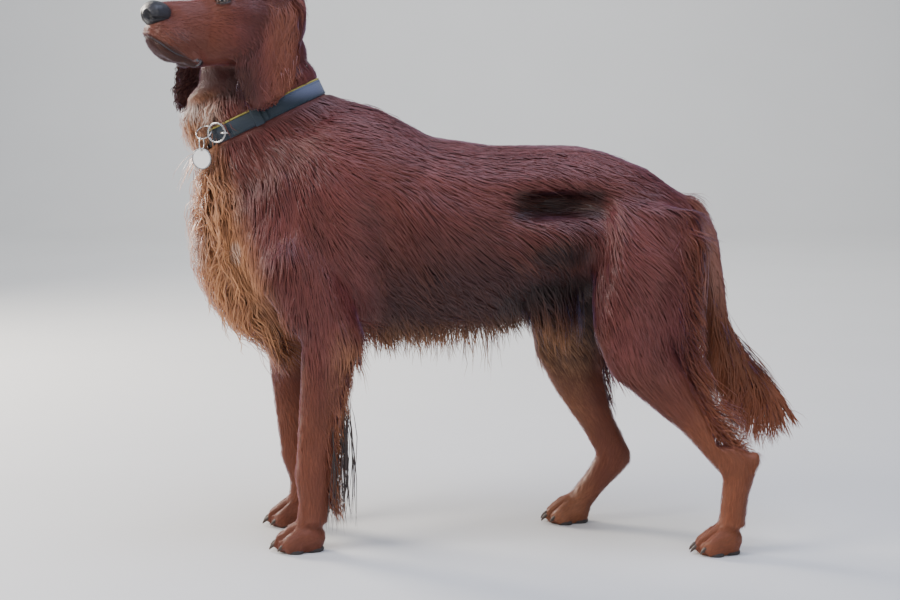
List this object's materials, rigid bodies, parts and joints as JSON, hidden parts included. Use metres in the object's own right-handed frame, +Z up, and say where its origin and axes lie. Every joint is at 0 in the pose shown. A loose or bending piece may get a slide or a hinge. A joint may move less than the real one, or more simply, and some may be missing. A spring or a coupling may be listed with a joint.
{
  "type": "standing irish setter",
  "caption": "Life-size standing red setter dog with long feathering, hanging ears and a collar with ring and tag.",
  "frame": {"origin": "on the floor, under the middle of the whole dog's box", "axes": "-X is the way the dog faces, +X its tail, -Y its left side, +Z up"},
  "size_m": [1.006, 0.2864, 0.8821],
  "materials": {
    "coat": "short silky chestnut hair",
    "long_coat": "long silky hair with golden ends",
    "ear_coat": "wavy silky chestnut hair",
    "nose_skin": "moist dark skin",
    "eye": "wet brown eye",
    "collar_strap": "woven strap with a sheen",
    "metal_ring": "polished wire",
    "tag_enamel": "plain white enamel"
  },
  "bodies": {
    "root": {"belly_hair": "long_coat", "chest_hair": "long_coat", "collar": "collar_strap", "collar_ring": "metal_ring", "ear_l": "ear_coat", "ear_r": "ear_coat", "eye_l": "eye", "eye_r": "eye", "fore_pastern_l": "coat", "fore_pastern_r": "coat", "forearm_l": "coat", "forearm_r": "coat", "foreleg_hair_l": "long_coat", "foreleg_hair_r": "long_coat", "forepaw_l": "coat", "forepaw_r": "coat", "head": "coat", "hind_pastern_l": "coat", "hind_pastern_r": "coat", "hindpaw_l": "coat", "hindpaw_r": "coat", "lower_jaw": "coat", "neck": "coat", "nose": "nose_skin", "shank_l": "coat", "shank_r": "coat", "shoulder_l": "coat", "shoulder_r": "coat", "tag": "tag_enamel", "tag_link": "metal_ring", "tag_ring": "metal_ring", "tail": "coat", "tail_hair": "long_coat", "thigh_hair_l": "long_coat", "thigh_hair_r": "long_coat", "thigh_l": "coat", "thigh_r": "coat", "trunk": "coat"}
  },
  "joints": []
}
